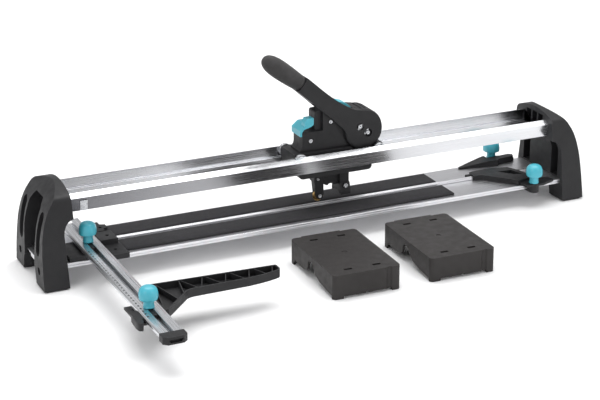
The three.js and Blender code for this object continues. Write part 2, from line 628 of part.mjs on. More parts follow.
function roller() {
  const half = ROLLER.thickness / 2;
  const inner = ROLLER.axleRadius + GAP / 2;
  const profile = [[inner, -half], [ROLLER.radius - 0.6, -half], [ROLLER.radius, -half + 0.6],
    [ROLLER.radius, half - 0.6],
    [ROLLER.radius - 0.6, half], [inner, half], [inner, -half]];
  return turned(profile, 24);
}

function rollerSet() {
  const parts = [];
  const rollerY = FRAME.halfWidth + 1.6 + ROLLER.thickness / 2;
  for (const { word, x } of AXLES) {
    const reach = rollerY + ROLLER.thickness / 2;
    const axle = rod('y', ROLLER.axleRadius, -reach, reach, x, AXLE_Z, 16);
    parts.push(piece(`roller_axle_${word}`, axle, FINISH.steel));
    for (const [side, place] of [[-1, 'front'], [1, 'rear']]) {
      const mesh = piece(`roller_${place}_${word}`, roller(), FINISH.steel);
      mesh.rotation.x = Math.PI / 2;
      mesh.position.set(x, side * rollerY, AXLE_Z);
      parts.push(mesh);
    }
  }
  return parts;
}

// The torsion spring that lifts the lever, wound round the hub shaft.
function liftSpring() {
  const [turns, radius, wire] = [4, 12.5, 0.9];
  class Helix extends THREE.Curve {
    getPoint(t) {
      const angle = t * turns * 2 * Math.PI;
      const [x, z] = [HUB.x + radius * Math.cos(angle), HUB.z + radius * Math.sin(angle)];
      return new THREE.Vector3(x, -8 + 16 * t, z);
    }
  }
  const section = new THREE.Shape();
  section.absarc(0, 0, wire, 0, 2 * Math.PI);
  const geometry = new THREE.ExtrudeGeometry(section, { steps: turns * 12, curveSegments: 2,
    extrudePath: new Helix() });
  return solid(geometry);
}

// ---- turquoise controls on the housing ----------------------------------------
// A bent flap over the housing's left shoulder, with a thumb piece standing up at the front.
function lockLever() {
  const face = HOUSING.left - GAP;
  const seat = HOUSING.shoulder + GAP;
  const half = HOUSING.halfWidth - GAP;
  const flap = [[face, seat - 5.8], [face, seat], [-19, 161.7], [-10.6, 163.8], [-6, 165.5],
    [-6, 168.5], [-15, 168.5],
    [face - 3, 160.5], [face - 3, seat - 5.8]];
  const thumb = [[-17.5, 166], [-10.6, 163.8], [-3, 167.5], [-3, 178], [-13.5, 178], [-17.5, 171]];
  return union(prism('front', flap, -half, half), prism('front', thumb, -half, -3));
}

// The release latch that lies on the raised box, between the lever's cheeks.
function latch() {
  return prism('front', [[14.6, 185.8], [27.2, 179.1], [57, 179.1], [60.9, 184.5], [51.9, 192.4], [43, 195.3],
    [14.6, 187.6]], -9, 9);
}

// ---- lever --------------------------------------------------------------------
// The drum round the hub, with its two rims rounded.
function leverDrum() {
  const { radius, halfWidth, round } = HUB;
  const lean = round * (1 - Math.SQRT1_2);
  const half = [[radius, halfWidth - round], [radius - lean, halfWidth - lean], [radius - round, halfWidth]];
  const profile = [[0, -halfWidth], ...half.map(([r, y]) => [r, -y]).reverse(), ...half, [0, halfWidth]];
  return turned(profile, 56).rotate([90, 0, 0]);
}

// Grooves across the drum's back, between the cheeks.
function drumGrooves() {
  const reach = HUB.halfWidth - 9;
  const angles = [35, 48, 61, 74, 87, 100, 113].map(THREE.MathUtils.degToRad);
  return angles.map((angle) => rod('y', 1.6, -reach, reach,
    -HUB.radius * Math.cos(angle), HUB.radius * Math.sin(angle), 10));
}

// The lever is drawn level, pointing to -X from the hub axis, and then raised.
function armSide() {
  const end = -ARM.seam - ARM.tail;
  const shape = new THREE.Shape();
  shape.moveTo(0, -HUB.radius + 3);
  shape.quadraticCurveTo(-16, -20, -32, -17);
  shape.lineTo(-56, -14.6);
  shape.lineTo(-ARM.seam, -11.8);
  shape.lineTo(end, -11.8);
  shape.lineTo(end, 12.5);
  shape.lineTo(-ARM.seam, 12.8);
  shape.lineTo(-90, 11);
  shape.quadraticCurveTo(-52, 9.6, -30, 17);
  shape.quadraticCurveTo(-18, 24, -8, HUB.radius - 2);
  shape.lineTo(0, HUB.radius - 1);
  return shape;
}

function leverBody() {
  const { halfWidth, webInner, shaftRadius } = HUB;
  const slot = HOUSING.halfWidth + 0.7;
  const end = -ARM.seam - ARM.tail;
  const plan = [[20, -halfWidth], [20, halfWidth], [-34, halfWidth], [-80, halfWidth - 4], [-ARM.seam, 12.6],
    [end, 12.6], [end, -12.6], [-ARM.seam, -12.6], [-80, -halfWidth + 4], [-34, -halfWidth]];
  const fromSide = prism('front', armSide(), -halfWidth - 1, halfWidth + 1);
  const spine = fromSide.intersect(prism('plan', plan, -60, 60));
  const tang = block(end - 2, -ARM.seam - GAP, -30, 30, -40, 40);
  const tangCore = block(end + 2, -ARM.seam + 2, -6.5, 6.5, -6, 6);
  const hollow = rod('y', webInner, -slot, slot, 0, 0, 48);
  const throat = prism('front', [[-ARM.slotEnd, 60], [-ARM.slotEnd, -60], [-6, -60], [0, 0],
    [-30, 16.2], [-36, 60]],
    -slot, slot);
  const under = prism('front', [[-60, 6], [0, 0], [40, -12], [60, -60], [-60, -60]], -slot, slot);
  const shaft = rod('y', shaftRadius + GAP, -slot - 3, slot + 3, 0, 0);
  const recesses = [-1, 1].flatMap((side) => [-1, 1].map((along) => {
    const floor = halfWidth - HUB_SCREW.depth;
    const [from, to] = side < 0 ? [-halfWidth - 1, -floor] : [floor, halfWidth + 1];
    return rod('y', HUB_SCREW.recess, from, to, along * HUB_SCREW.offset, 0, 24);
  }));
  const whole = cut(union(cut(spine, tang), leverDrum()), hollow, throat, under, shaft, ...drumGrooves(),
    ...recesses);
  return union(whole, tangCore);
}

// A full, slightly waisted rubber grip with a rounded end.
function gripBody() {
  const start = -ARM.seam - GAP;
  const end = start - GRIP.length;
  const profile = [[0, 0], [11.2, 0], [12.4, 4], [13.4, 16], [14, 28], [GRIP.radius, 42], [13.8, 52],
    [12.2, 60],
    [8.8, 67], [4.6, 71.6], [0, GRIP.length]];
  const bodyOfRevolution = new THREE.LatheGeometry(profile.map(([r, h]) => new THREE.Vector2(r, h)), 28);
  bodyOfRevolution.rotateZ(Math.PI / 2).translate(start, 0, 0.5);
  const bore = block(end + 38, start + 1, -6.5 - GAP, 6.5 + GAP, -6 - GAP, 6 + GAP);
  return cut(solid(bodyOfRevolution), bore);
}

function lever() {
  const { halfWidth, shaftRadius } = HUB;
  const shaftHalf = HOUSING.halfWidth + 3.4;
  const group = assembly(
    piece('handle_lever', leverBody(), FINISH.plastic),
    piece('handle_grip', gripBody(), FINISH.grip),
    piece('hub_shaft', rod('y', shaftRadius, -shaftHalf, shaftHalf, 0, 0), FINISH.steel),
  );
  let number = 1;
  for (const side of [-1, 1]) {
    for (const x of [-HUB_SCREW.offset, HUB_SCREW.offset]) {
      const head = rod('y', HUB_SCREW.radius, -1.2, 1.2, 0, 0, 20);
      const mesh = piece(`hub_screw_${number}`, head, FINISH.steel);
      mesh.position.set(x, side * (halfWidth - 2), 0);
      group.add(mesh);
      number += 1;
    }
  }
  group.position.set(HUB.x, 0, HUB.z);
  group.rotation.y = THREE.MathUtils.degToRad(ARM.rise);
  return group;
}

// ---- press unit ---------------------------------------------------------------
// The block that slides in the carriage's well, with a strut for the wheel and a breaking leg.
function pressBlock() {
  const half = WELL.halfWidth - 0.5;
  const head = union(block(WELL.left + 0.6, WELL.right - 0.6, -half, half, 84, 110),
    block(WELL.left + 0.6, 50, -half, half, 109, 121));
  const strut = block(1, 16, -half + 3, half - 3, 73.8, 85);
  const leg = block(FOOT_SCREW.x - 7.5, FOOT_SCREW.x + 7.5, -half, half, 59.5, 85);
  const brace = prism('front', [[14, 85], [14, 74], [18.2, 74], [18.6, 68], [22, 66], [40.5, 66],
    [40.5, 69.5], [43, 69.5], [43, 85]], -6, 6);
  const archCut = rod('y', 5.5, -20, 20, 29, 63, 20);
  const screw = rod('y', FOOT_SCREW.radius + GAP, -20, 20, FOOT_SCREW.x, FOOT_SCREW.z, 16);
  const pin = rod('y', PRESS_PIN.radius + GAP, -20, 20, PRESS_PIN.x, PRESS_PIN.z, 16);
  return cut(union(head, strut, leg, brace), archCut, screw, pin);
}

// The shoe under the breaking leg: two feet that press either side of the scored line.
function breakerFoot() {
  const { x, z } = FOOT_SCREW;
  const outline = [[-15, z - 14], [-4, z - 9], [4, z - 9], [15, z - 14], [15, z - 8], [12.2, z + 4],
    [-12.2, z + 4],
    [-15, z - 8]];
  const shell = prism('side', outline, x - 8.5, x + 8.5);
  const seat = block(x - 7.8, x + 7.8, -WELL.halfWidth + 0.2, WELL.halfWidth - 0.2, 59.1, 80);
  const screw = rod('y', FOOT_SCREW.radius + GAP, -20, 20, x, z, 16);
  return cut(shell, seat, screw);
}

// A forked holder that grips the scoring wheel from both sides.
function wheelHolder() {
  const { x, z, radius } = WHEEL;
  const [top, cheekGap] = [73.5, 1.9];
  const shape = new THREE.Shape();
  shape.moveTo(x - 8.4, top);
  shape.lineTo(x - 6.6, z + 6);
  shape.lineTo(x - 5, z - 1);
  shape.quadraticCurveTo(x - 1, z - 7.4, x + 4.5, z - 4);
  shape.lineTo(x + 6.8, z + 3);
  shape.lineTo(x + 6.4, top);
  const body = prism('front', shape, -6, 6);
  const wheelRoom = rod('y', radius + 1.2, -cheekGap, cheekGap, x, z, 32);
  const axle = rod('y', 1.9, -8, 8, x, z, 16);
  return cut(body, wheelRoom, axle);
}

function scoringWheel() {
  const { radius, thickness } = WHEEL;
  const profile = [[1.8, -thickness / 2], [radius - 1.8, -thickness / 2], [radius, 0],
    [radius - 1.8, thickness / 2],
    [1.8, thickness / 2], [1.8, -thickness / 2]];
  const mesh = piece('scoring_wheel', turned(profile, 32), FINISH.brass);
  mesh.rotation.x = Math.PI / 2;
  mesh.position.set(WHEEL.x, 0, WHEEL.z);
  return mesh;
}

function pressUnit() {
  const axle = union(rod('y', 1.6, -6.8, 6.8, 0, 0, 16), rod('y', 3, -8.2, -6.3, 0, 0, 20));
  const axleMesh = piece('wheel_axle', axle, FINISH.steel);
  axleMesh.position.set(WHEEL.x, 0, WHEEL.z);
  const holderPin = piece('holder_pin', rod('y', PRESS_PIN.radius, -9.6, 9.6, 0, 0, 16), FINISH.steel);
  holderPin.position.set(PRESS_PIN.x, 0, PRESS_PIN.z);
  const screw = union(rod('y', FOOT_SCREW.radius, -15, 12, 0, 0, 16), rod('y', 3.6, -17, -15, 0, 0, 20));
  const footScrew = piece('foot_screw', screw, FINISH.steel);
  footScrew.position.set(FOOT_SCREW.x, 0, FOOT_SCREW.z);
  return assembly(
    piece('press_block', pressBlock(), FINISH.plastic),
    piece('breaker_foot', breakerFoot(), FINISH.plastic),
    piece('wheel_holder', wheelHolder(), FINISH.plastic),
    scoringWheel(), axleMesh, holderPin, footScrew,
  );
}

function carriage() {
  const screws = HOUSING_SCREWS.map(([x, z], index) => {
    const mesh = piece(`housing_screw_${index + 1}`, capScrew(3.2, 0, 1.9), FINISH.steel);
    mesh.position.set(x, -HOUSING.halfWidth + 0.2, z);
    return mesh;
  });
  return assembly(
    piece('carriage_frame', carriageFrame(), FINISH.plastic),
    piece('lower_plate', lowerPlate(), FINISH.plastic),
    piece('housing_front', housingHalf(), FINISH.plastic),
    piece('housing_rear', housingHalf().mirror([0, 1, 0]), FINISH.plastic),
    ...screws,
    ...rollerSet(),
    piece('lift_spring', liftSpring(), FINISH.steel),
    piece('lock_lever', lockLever(), FINISH.turquoise),
    piece('latch', latch(), FINISH.turquoise),
    lever(),
    pressUnit(),
  );
}

// ---- loose side supports ------------------------------------------------------
// Side wall of a support: a rear foot, a lobe, a high notch and a sweep to the front foot.
function supportSideOpening() {
  const { depth } = SUPPORT;
  const at = (share) => depth / 2 - share * depth;      // share of the depth, from the rear
  const shape = new THREE.Shape();
  shape.moveTo(at(0.08), -1);
  shape.lineTo(at(0.08), 4);
  shape.lineTo(at(0.12), 9);
  shape.quadraticCurveTo(at(0.24), 4.5, at(0.36), 8);
  shape.quadraticCurveTo(at(0.42), 11, at(0.425), 22);
  shape.quadraticCurveTo(at(0.43), 27, at(0.47), 27);
  shape.quadraticCurveTo(at(0.52), 27, at(0.54), 22);
  shape.quadraticCurveTo(at(0.59), 11, at(0.7), 8.4);
  shape.lineTo(at(0.84), 5.8);
  shape.lineTo(at(0.95), 4.6);
  shape.lineTo(at(0.965), -1);
  return shape;
}

function supportWallOpening() {
  const half = SUPPORT.width / 2;
  return [[-half + 16, -1], [half - 13, -1], [half - 13, 3.4], [2, 3.4], [1, 5.4], [-1, 5.4], [-2, 3.4],
    [-half + 16, 3.4]];
}

// Plan of a support: rounded corners and a shallow notch in the front edge.
function supportPlan() {
  const [x, y, corner] = [SUPPORT.width / 2, SUPPORT.depth / 2, 6];
  const shape = new THREE.Shape();
  shape.moveTo(-x + corner, -y);
  shape.lineTo(x - 22, -y);
  shape.lineTo(x - 20, -y + 2);
  shape.lineTo(x - 15, -y + 2);
  shape.lineTo(x - 13, -y);
  shape.lineTo(x - corner, -y);
  shape.absarc(x - corner, -y + corner, corner, -Math.PI / 2, 0);
  shape.absarc(x - corner, y - corner, corner, 0, Math.PI / 2);
  shape.absarc(-x + corner, y - corner, corner, Math.PI / 2, Math.PI);
  shape.absarc(-x + corner, -y + corner, corner, Math.PI, 1.5 * Math.PI);
  return shape;
}

function sideSupport() {
  const { width, depth, wall, height } = SUPPORT;
  const [x, y] = [width / 2, depth / 2];
  const outer = prism('plan', supportPlan(), 0, height, 4);
  const inside = block(-x + wall, x - wall, -y + wall + 2, y - wall, -1, height - wall);
  const sideGaps = [[-x - 1, -x + wall + 1], [x - wall - 1, x + 1]]
    .map(([from, to]) => prism('side', supportSideOpening(), from, to));
  const endGaps = [[-y - 1, -y + wall + 3], [y - wall - 1, y + 1]]
    .map(([from, to]) => prism('front', supportWallOpening(), from, to));
  const slots = [-1, 1].flatMap((sx) => [-1, 1].map((sy) => {
    const [cx, cy] = [sx * 21.5, sy * (y - 17)];
    return block(cx - 6, cx + 6, cy - 2.6, cy + 2.6, height - wall - 1, height + 1);
  }));
  const dimple = rod('z', 4, height - 1, height + 1, 0, 0, 20);
  const strip = block(-x + 18, x - 24, y - 2.6, y + 2.4, height - 9, height);
  return union(cut(outer, inside, ...sideGaps, ...endGaps, ...slots, dimple), strip);
}

function sideSupports() {
  return SUPPORT_PLACES.map(([word, x, y]) => {
    const mesh = piece(`side_support_${word}`, sideSupport(), FINISH.support);
    mesh.position.set(x, y, 0);
    mesh.rotation.z = THREE.MathUtils.degToRad(SUPPORT.turn);
    return mesh;
  });
}

// ---- the whole cutter ---------------------------------------------------------
const FRONT_REACH = -BAR.front + GAP + BAR.cap;
const REAR_REACH = STOP.knobY + KNOB.capRadius;
const group = assembly(
  ...endFrames(), ...bed(), ...rails(),
  piece('fence_block', fenceBlock(), FINISH.plastic),
  piece('bar_carrier', barCarrier(), FINISH.plastic),
  barSet(), ...cornerStops(), carriage(), ...sideSupports(),
);
group.position.y = (FRONT_REACH - REAR_REACH) / 2;

export default group;
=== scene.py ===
"""Looks of the tile cutter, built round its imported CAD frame.

Lengths are in metres in the frame of the CAD model: +X along the rails, +Y away from the user, +Z up.
Sizes written as `n * MM` are millimetres of the real object.
"""
import json
import math

import bmesh
import bpy
from mathutils import Matrix, Vector


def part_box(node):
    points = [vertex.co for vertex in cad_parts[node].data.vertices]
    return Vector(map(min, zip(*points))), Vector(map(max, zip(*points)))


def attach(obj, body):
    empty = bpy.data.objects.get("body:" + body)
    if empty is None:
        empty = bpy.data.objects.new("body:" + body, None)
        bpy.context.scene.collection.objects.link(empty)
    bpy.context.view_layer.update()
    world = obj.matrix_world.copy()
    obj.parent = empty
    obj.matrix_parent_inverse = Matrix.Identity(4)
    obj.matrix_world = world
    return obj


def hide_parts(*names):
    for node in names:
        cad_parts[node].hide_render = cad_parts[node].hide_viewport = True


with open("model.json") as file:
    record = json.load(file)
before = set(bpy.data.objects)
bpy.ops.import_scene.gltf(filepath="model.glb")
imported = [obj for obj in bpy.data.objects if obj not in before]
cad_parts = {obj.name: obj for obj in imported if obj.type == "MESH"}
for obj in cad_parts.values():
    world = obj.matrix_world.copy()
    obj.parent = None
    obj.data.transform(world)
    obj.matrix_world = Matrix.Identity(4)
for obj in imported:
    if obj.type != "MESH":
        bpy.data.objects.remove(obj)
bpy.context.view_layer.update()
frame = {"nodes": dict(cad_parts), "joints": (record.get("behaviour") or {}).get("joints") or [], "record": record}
NODES = frame["nodes"]
JOINTS = {joint["name"]: joint for joint in frame["joints"]}
MM = 0.001

# ---- camera and stage -----------------------------------------------------------
CAMERA_PLACE = Vector((-1.01965, -2.04389, 0.94972))
CAMERA_TURN = math.radians(-24.513)
CAMERA_RISE = math.radians(20.513)
CAMERA_ROLL = math.radians(-0.366)
CAMERA_LENS = 103.24
SENSOR_WIDTH = 36
CLIP_END = 50
WORLD_STRENGTH = 0.95
# Height (0 straight down, 0.5 level, 1 straight up) and brightness of each band of the studio.
WORLD_BANDS = ((0.0, 0.95), (0.1, 0.9), (0.2, 0.45), (0.34, 0.32), (0.5, 0.85), (0.7, 0.55), (1.0, 0.9))
WORLD_BLUE = 1.01
FLOOR_SIZE = 30
FLOOR_DROP = 0.2 * MM
# Name, place, the point it is aimed at, its two sides in metres and its power in watts.
LIGHTS = (
    ("top_softbox", (0.2, 0.5, 2.6), (0, 0.1, 0), (2.8, 1.8), 62),
    ("left_softbox", (-2.6, -1.4, 1.6), (0, 0.1, 0.1), (1.4, 1.4), 20),
    ("front_softbox", (1.6, -3.0, 1.4), (0.1, 0, 0.1), (1.8, 1.2), 18),
)


def add_camera():
    data = bpy.data.cameras.new("camera")
    data.lens = CAMERA_LENS
    data.sensor_width = SENSOR_WIDTH
    data.clip_end = CLIP_END
    camera = bpy.data.objects.new("camera", data)
    bpy.context.scene.collection.objects.link(camera)
    back = Vector((
        math.sin(CAMERA_TURN) * math.cos(CAMERA_RISE),
        -math.cos(CAMERA_TURN) * math.cos(CAMERA_RISE),
        math.sin(CAMERA_RISE),
    ))
    level_right = Vector((math.cos(CAMERA_TURN), math.sin(CAMERA_TURN), 0))
    level_up = back.cross(level_right)
    right = math.cos(CAMERA_ROLL) * level_right + math.sin(CAMERA_ROLL) * level_up
    up = back.cross(right)
    turn = Matrix((right, up, back)).transposed()
    camera.matrix_world = Matrix.Translation(CAMERA_PLACE) @ turn.to_4x4()
    bpy.context.scene.camera = camera


def add_light(name, place, target, size, power):
    data = bpy.data.lights.new(name, "AREA")
    data.shape = "RECTANGLE"
    data.size, data.size_y = size
    data.energy = power
    light = bpy.data.objects.new(name, data)
    light.location = place
    light.rotation_euler = (Vector(target) - Vector(place)).to_track_quat("-Z", "Y").to_euler()
    bpy.context.scene.collection.objects.link(light)


def add_world():
    """A studio of level bands, bright and grey by turns, so that metal has something to show."""
    world = bpy.data.worlds.new("studio")
    world.use_nodes = True
    bpy.context.scene.world = world
    tree = world.node_tree
    sky = tree.nodes["Background"]
    direction = tree.nodes.new("ShaderNodeTexCoord").outputs["Generated"]
    height = tree.nodes.new("ShaderNodeSeparateXYZ")
    tree.links.new(direction, height.inputs["Vector"])
    bands = tree.nodes.new("ShaderNodeValToRGB")
    tree.links.new(height.outputs["Z"], bands.inputs["Fac"])
    ramp = bands.color_ramp
    while len(ramp.elements) < len(WORLD_BANDS):
        ramp.elements.new(0.5)
    for element, (place, tone) in zip(ramp.elements, WORLD_BANDS):
        element.position = place
        element.color = (tone, tone, tone * WORLD_BLUE, 1)
    tree.links.new(bands.outputs["Color"], sky.inputs["Color"])
    sky.inputs["Strength"].default_value = WORLD_STRENGTH


def add_stage():
    bpy.ops.mesh.primitive_plane_add(size=FLOOR_SIZE)
    floor = bpy.context.object
    floor.name = "floor"
    floor.location.z = -FLOOR_DROP
    paper = Finish("floor_paper", (0.9, 0.9, 0.9), 0.9)
    tone = paper.noise(1.3, detail=2)
    paper.colour_between(tone, (0.93, 0.93, 0.93), (0.95, 0.95, 0.95))
    floor.data.materials.append(paper.material)
    add_world()
    for light in LIGHTS:
        add_light(*light)
    bpy.context.scene.view_settings.view_transform = "Standard"


# ---- finishes -------------------------------------------------------------------
# Places of the colour sockets on a Mix node, whose names are shared with its other kinds.
MIX_FIRST, MIX_SECOND, MIX_RESULT = 6, 7, 2


class Finish:
    """A Principled material, with short calls that drive it from procedural textures."""

    def __init__(self, name, colour, roughness, metallic=0.0, **constants):
        self.material = bpy.data.materials.new(name)
        self.material.use_nodes = True
        self.tree = self.material.node_tree
        self.shader = self.tree.nodes["Principled BSDF"]
        self.shader.inputs["Base Color"].default_value = (*colour, 1)
        self.shader.inputs["Roughness"].default_value = roughness
        self.shader.inputs["Metallic"].default_value = metallic
        for socket, value in constants.items():
            self.shader.inputs[socket.replace("_", " ")].default_value = value
        self.place = self.tree.nodes.new("ShaderNodeTexCoord").outputs["Object"]
        self.normal = None

    def feed(self, socket, value):
        """Links `value` to the socket if it is another node's output, or else sets it there."""
        if isinstance(value, bpy.types.NodeSocket):
            self.tree.links.new(value, socket)
        else:
            socket.default_value = value

    def node(self, kind, **inputs):
        made = self.tree.nodes.new(kind)
        for name, value in inputs.items():
            self.feed(made.inputs[name.replace("_", " ")], value)
        return made

    def stretched(self, stretch):
        return self.node("ShaderNodeMapping", Vector=self.place, Scale=stretch).outputs["Vector"]

    def noise(self, scale, detail=3.0, stretch=(1, 1, 1)):
        """Noise from 0 to 1, with `scale` cells in a metre."""
        where = self.stretched(stretch)
        return self.node("ShaderNodeTexNoise", Vector=where, Scale=scale, Detail=detail).outputs["Fac"]

    def cells(self, scale):
        """Distance to the nearest point of a scatter with `scale` points along a metre."""
        cells = self.node("ShaderNodeTexVoronoi", Vector=self.place, Scale=scale)
        return cells.outputs["Distance"]

    def remap(self, value, low, high, to_low, to_high):
        made = self.node("ShaderNodeMapRange", Value=value)
        made.inputs["From Min"].default_value = low
        made.inputs["From Max"].default_value = high
        made.inputs["To Min"].default_value = to_low
        made.inputs["To Max"].default_value = to_high
        return made.outputs["Result"]

    def math(self, operation, first, second):
        made = self.tree.nodes.new("ShaderNodeMath")
        made.operation = operation
        self.feed(made.inputs[0], first)
        self.feed(made.inputs[1], second)
        return made.outputs["Value"]

    def mix(self, share, first, second):
        made = self.tree.nodes.new("ShaderNodeMix")
        made.data_type = "RGBA"
        self.tree.links.new(share, made.inputs["Factor"])
        for place, colour in ((MIX_FIRST, first), (MIX_SECOND, second)):
            is_socket = isinstance(colour, bpy.types.NodeSocket)
            self.feed(made.inputs[place], colour if is_socket else (*colour, 1))
        return made.outputs[MIX_RESULT]

    def colour_between(self, share, first, second):
        colour = self.mix(share, first, second)
        self.tree.links.new(colour, self.shader.inputs["Base Color"])

    def roughness_from(self, noise, low, high):
        """Roughness from `low` to `high` as the noise goes through its usual range."""
        roughness = self.remap(noise, 0.3, 0.7, low, high)
        self.tree.links.new(roughness, self.shader.inputs["Roughness"])

    def bump(self, height, distance, strength=1.0):
        """Adds relief of `distance` metres; calls stack on each other."""
        made = self.node("ShaderNodeBump", Height=height, Distance=distance, Strength=strength)
        if self.normal is not None:
            self.tree.links.new(self.normal, made.inputs["Normal"])
        self.normal = made.outputs["Normal"]
        self.tree.links.new(self.normal, self.shader.inputs["Normal"])

    def edge_share(self, radius):
        """1 on edges and 0 on flats, from how far a rounded normal leans away from the true one."""
        bevel = self.node("ShaderNodeBevel", Radius=radius)
        bevel.samples = 6
        true_normal = self.tree.nodes.new("ShaderNodeNewGeometry").outputs["Normal"]
        dot = self.tree.nodes.new("ShaderNodeVectorMath")
        dot.operation = "DOT_PRODUCT"
        self.tree.links.new(bevel.outputs["Normal"], dot.inputs[0])
        self.tree.links.new(true_normal, dot.inputs[1])
        return self.remap(dot.outputs["Value"], 0.99, 0.8, 0.0, 1.0)


def moulded_plastic(name, dark, light, roughness):
    """Spark-eroded mould texture, a slight cloudiness, and edges rubbed a little lighter."""
    worn = (0.085, 0.085, 0.09)
    finish = Finish(name, dark, roughness, Specular_IOR_Level=0.32)
    cloud = finish.remap(finish.noise(14, detail=3), 0.3, 0.7, 0.0, 1.0)
    body = finish.mix(cloud, dark, light)
    scuffs = finish.noise(260, detail=4)
    wear = finish.remap(scuffs, 0.42, 0.62, 0.1, 0.5)
    edge = finish.math("MULTIPLY", finish.edge_share(0.7 * MM), wear)
    finish.colour_between(edge, body, worn)
    finish.roughness_from(finish.noise(90, detail=5), roughness - 0.07, roughness + 0.09)
    finish.bump(finish.noise(2600, detail=3), 0.03 * MM, 0.8)
    finish.bump(finish.noise(60, detail=2), 0.12 * MM, 0.25)
    return finish.material


def grip_rubber():
    """Soft overmould with a fine stipple and a faint bloom."""
    sheen = {"Sheen_Weight": 0.06, "Sheen_Roughness": 0.5}
    finish = Finish("grip_rubber", (0.03, 0.029, 0.029), 0.72, **sheen)
    cloud = finish.remap(finish.noise(22, detail=4), 0.3, 0.7, 0.0, 1.0)
    finish.colour_between(cloud, (0.024, 0.023, 0.023), (0.036, 0.034, 0.034))
    finish.roughness_from(finish.noise(150, detail=4), 0.62, 0.8)
    finish.bump(finish.cells(1500), 0.05 * MM, 0.6)
    return finish.material


def sole_rubber():
    """Plain rubber, dusty in patches."""
    finish = Finish("sole_rubber", (0.015, 0.015, 0.016), 0.85)
    finish.colour_between(finish.noise(40, detail=4), (0.012, 0.012, 0.013), (0.026, 0.025, 0.025))
    finish.roughness_from(finish.noise(120, detail=3), 0.75, 0.92)
    finish.bump(finish.noise(1400, detail=3), 0.06 * MM, 0.7)
    return finish.material


def bed_foam():
    """Closed-cell foam: small round cells, with a cloudy tone where dust has settled."""
    finish = Finish("bed_foam", (0.04, 0.039, 0.043), 0.92)
    dust = finish.remap(finish.noise(9, detail=5), 0.35, 0.7, 0.0, 1.0)
    speck = finish.remap(finish.cells(900), 0.05, 0.45, 0.0, 0.5)
    mixed = finish.math("ADD", finish.math("MULTIPLY", dust, 0.5), speck)
    finish.colour_between(mixed, (0.014, 0.0135, 0.0155), (0.03, 0.029, 0.032))
    finish.roughness_from(finish.noise(200, detail=3), 0.86, 0.97)
    finish.bump(finish.cells(900), 0.22 * MM, 0.8)
    finish.bump(finish.noise(45, detail=3), 0.5 * MM, 0.35)
    return finish.material


def turquoise_plastic():
    """Smooth glossy plastic, rubbed paler on its edges."""
    gloss = {"Coat_Weight": 0.15, "Coat_Roughness": 0.25}
    finish = Finish("turquoise_plastic", (0.06, 0.4, 0.5), 0.36, **gloss)
    cloud = finish.remap(finish.noise(30, detail=3), 0.3, 0.7, 0.0, 1.0)
    body = finish.mix(cloud, (0.05, 0.38, 0.475), (0.068, 0.44, 0.54))
    wear = finish.remap(finish.noise(300), 0.4, 0.6, 0.0, 0.5)
    rubbed = finish.math("MULTIPLY", finish.edge_share(0.6 * MM), wear)
    finish.colour_between(rubbed, body, (0.2, 0.6, 0.68))
    finish.roughness_from(finish.noise(120, detail=4), 0.3, 0.44)
    finish.bump(finish.noise(1800, detail=2), 0.02 * MM, 0.6)
    return finish.material


RAIL_WAVE = 0.3 * MM


def drawn_metal_finish(name, dark, light, roughness, along, wave=0.0):
    """Metal drawn along one axis: lines long on it and fine across it, and `wave` metres of sway."""
    finish = Finish(name, light, roughness, 1.0)
    stretch = [1.0, 1.0, 1.0]
    stretch["XYZ".index(along)] = 0.008
    lines = finish.noise(1500, detail=4, stretch=stretch)
    streaks = finish.math("MULTIPLY", lines, 0.6)
    tone = finish.math("ADD", streaks, finish.math("MULTIPLY", finish.noise(6), 0.4))
    finish.colour_between(finish.remap(tone, 0.35, 0.65, 0.0, 1.0), dark, light)
    finish.roughness_from(lines, roughness * 0.7, roughness * 1.35)
    finish.bump(lines, 0.006 * MM, 0.5)
    if wave:
        finish.bump(finish.noise(9, detail=1, stretch=stretch), wave, 0.5)
    return finish


def drawn_metal(*looks):
    return drawn_metal_finish(*looks).material


def front_rail():
    """Drawn aluminium whose side faces carry painted shade, darker towards the left end, standing in for the
    reflection of the dark supports; the top faces keep the bright metal colour.
    """
    light = (0.74, 0.75, 0.77)
    finish = drawn_metal_finish("front_rail", (0.6, 0.6, 0.62), light, 0.22, "X", RAIL_WAVE)
    bright = finish.shader.inputs["Base Color"].links[0].from_socket
    place = finish.node("ShaderNodeSeparateXYZ", Vector=finish.place)
    facing_way = finish.tree.nodes.new("ShaderNodeTexCoord").outputs["Normal"]
    split = finish.node("ShaderNodeSeparateXYZ", Vector=facing_way)
    # Painted shade: faces that look along Y turn dark towards the left end, standing in for the reflection of the
    # dark supports.
    sideways = finish.math("ABSOLUTE", split.outputs["Y"], 0.0)
    side = finish.remap(sideways, 0.6, 0.9, 0.0, 1.0)
    left = finish.remap(place.outputs["X"], -0.36, 0.2, 0.9, 0.0)
    finish.colour_between(finish.math("MULTIPLY", side, left), bright, (0.14, 0.14, 0.15))
    return finish.material


def zinc_steel():
    """Zinc-plated steel with a fine mottle."""
    finish = Finish("zinc_steel", (0.62, 0.63, 0.65), 0.25, 1.0)
    finish.colour_between(finish.noise(220, detail=5), (0.5, 0.51, 0.53), (0.72, 0.73, 0.75))
    finish.roughness_from(finish.noise(500, detail=4), 0.18, 0.36)
    finish.bump(finish.noise(900, detail=3), 0.01 * MM, 0.5)
    return finish.material


def wheel_gold():
    """The gold-coloured coating of the scoring wheel."""
    finish = Finish("wheel_gold", (0.72, 0.46, 0.17), 0.28, 1.0)
    finish.colour_between(finish.noise(260, detail=4), (0.6, 0.36, 0.12), (0.82, 0.55, 0.24))
    finish.roughness_from(finish.noise(700, detail=4), 0.2, 0.38)
    finish.bump(finish.noise(1200, detail=3), 0.008 * MM, 0.5)
    return finish.material


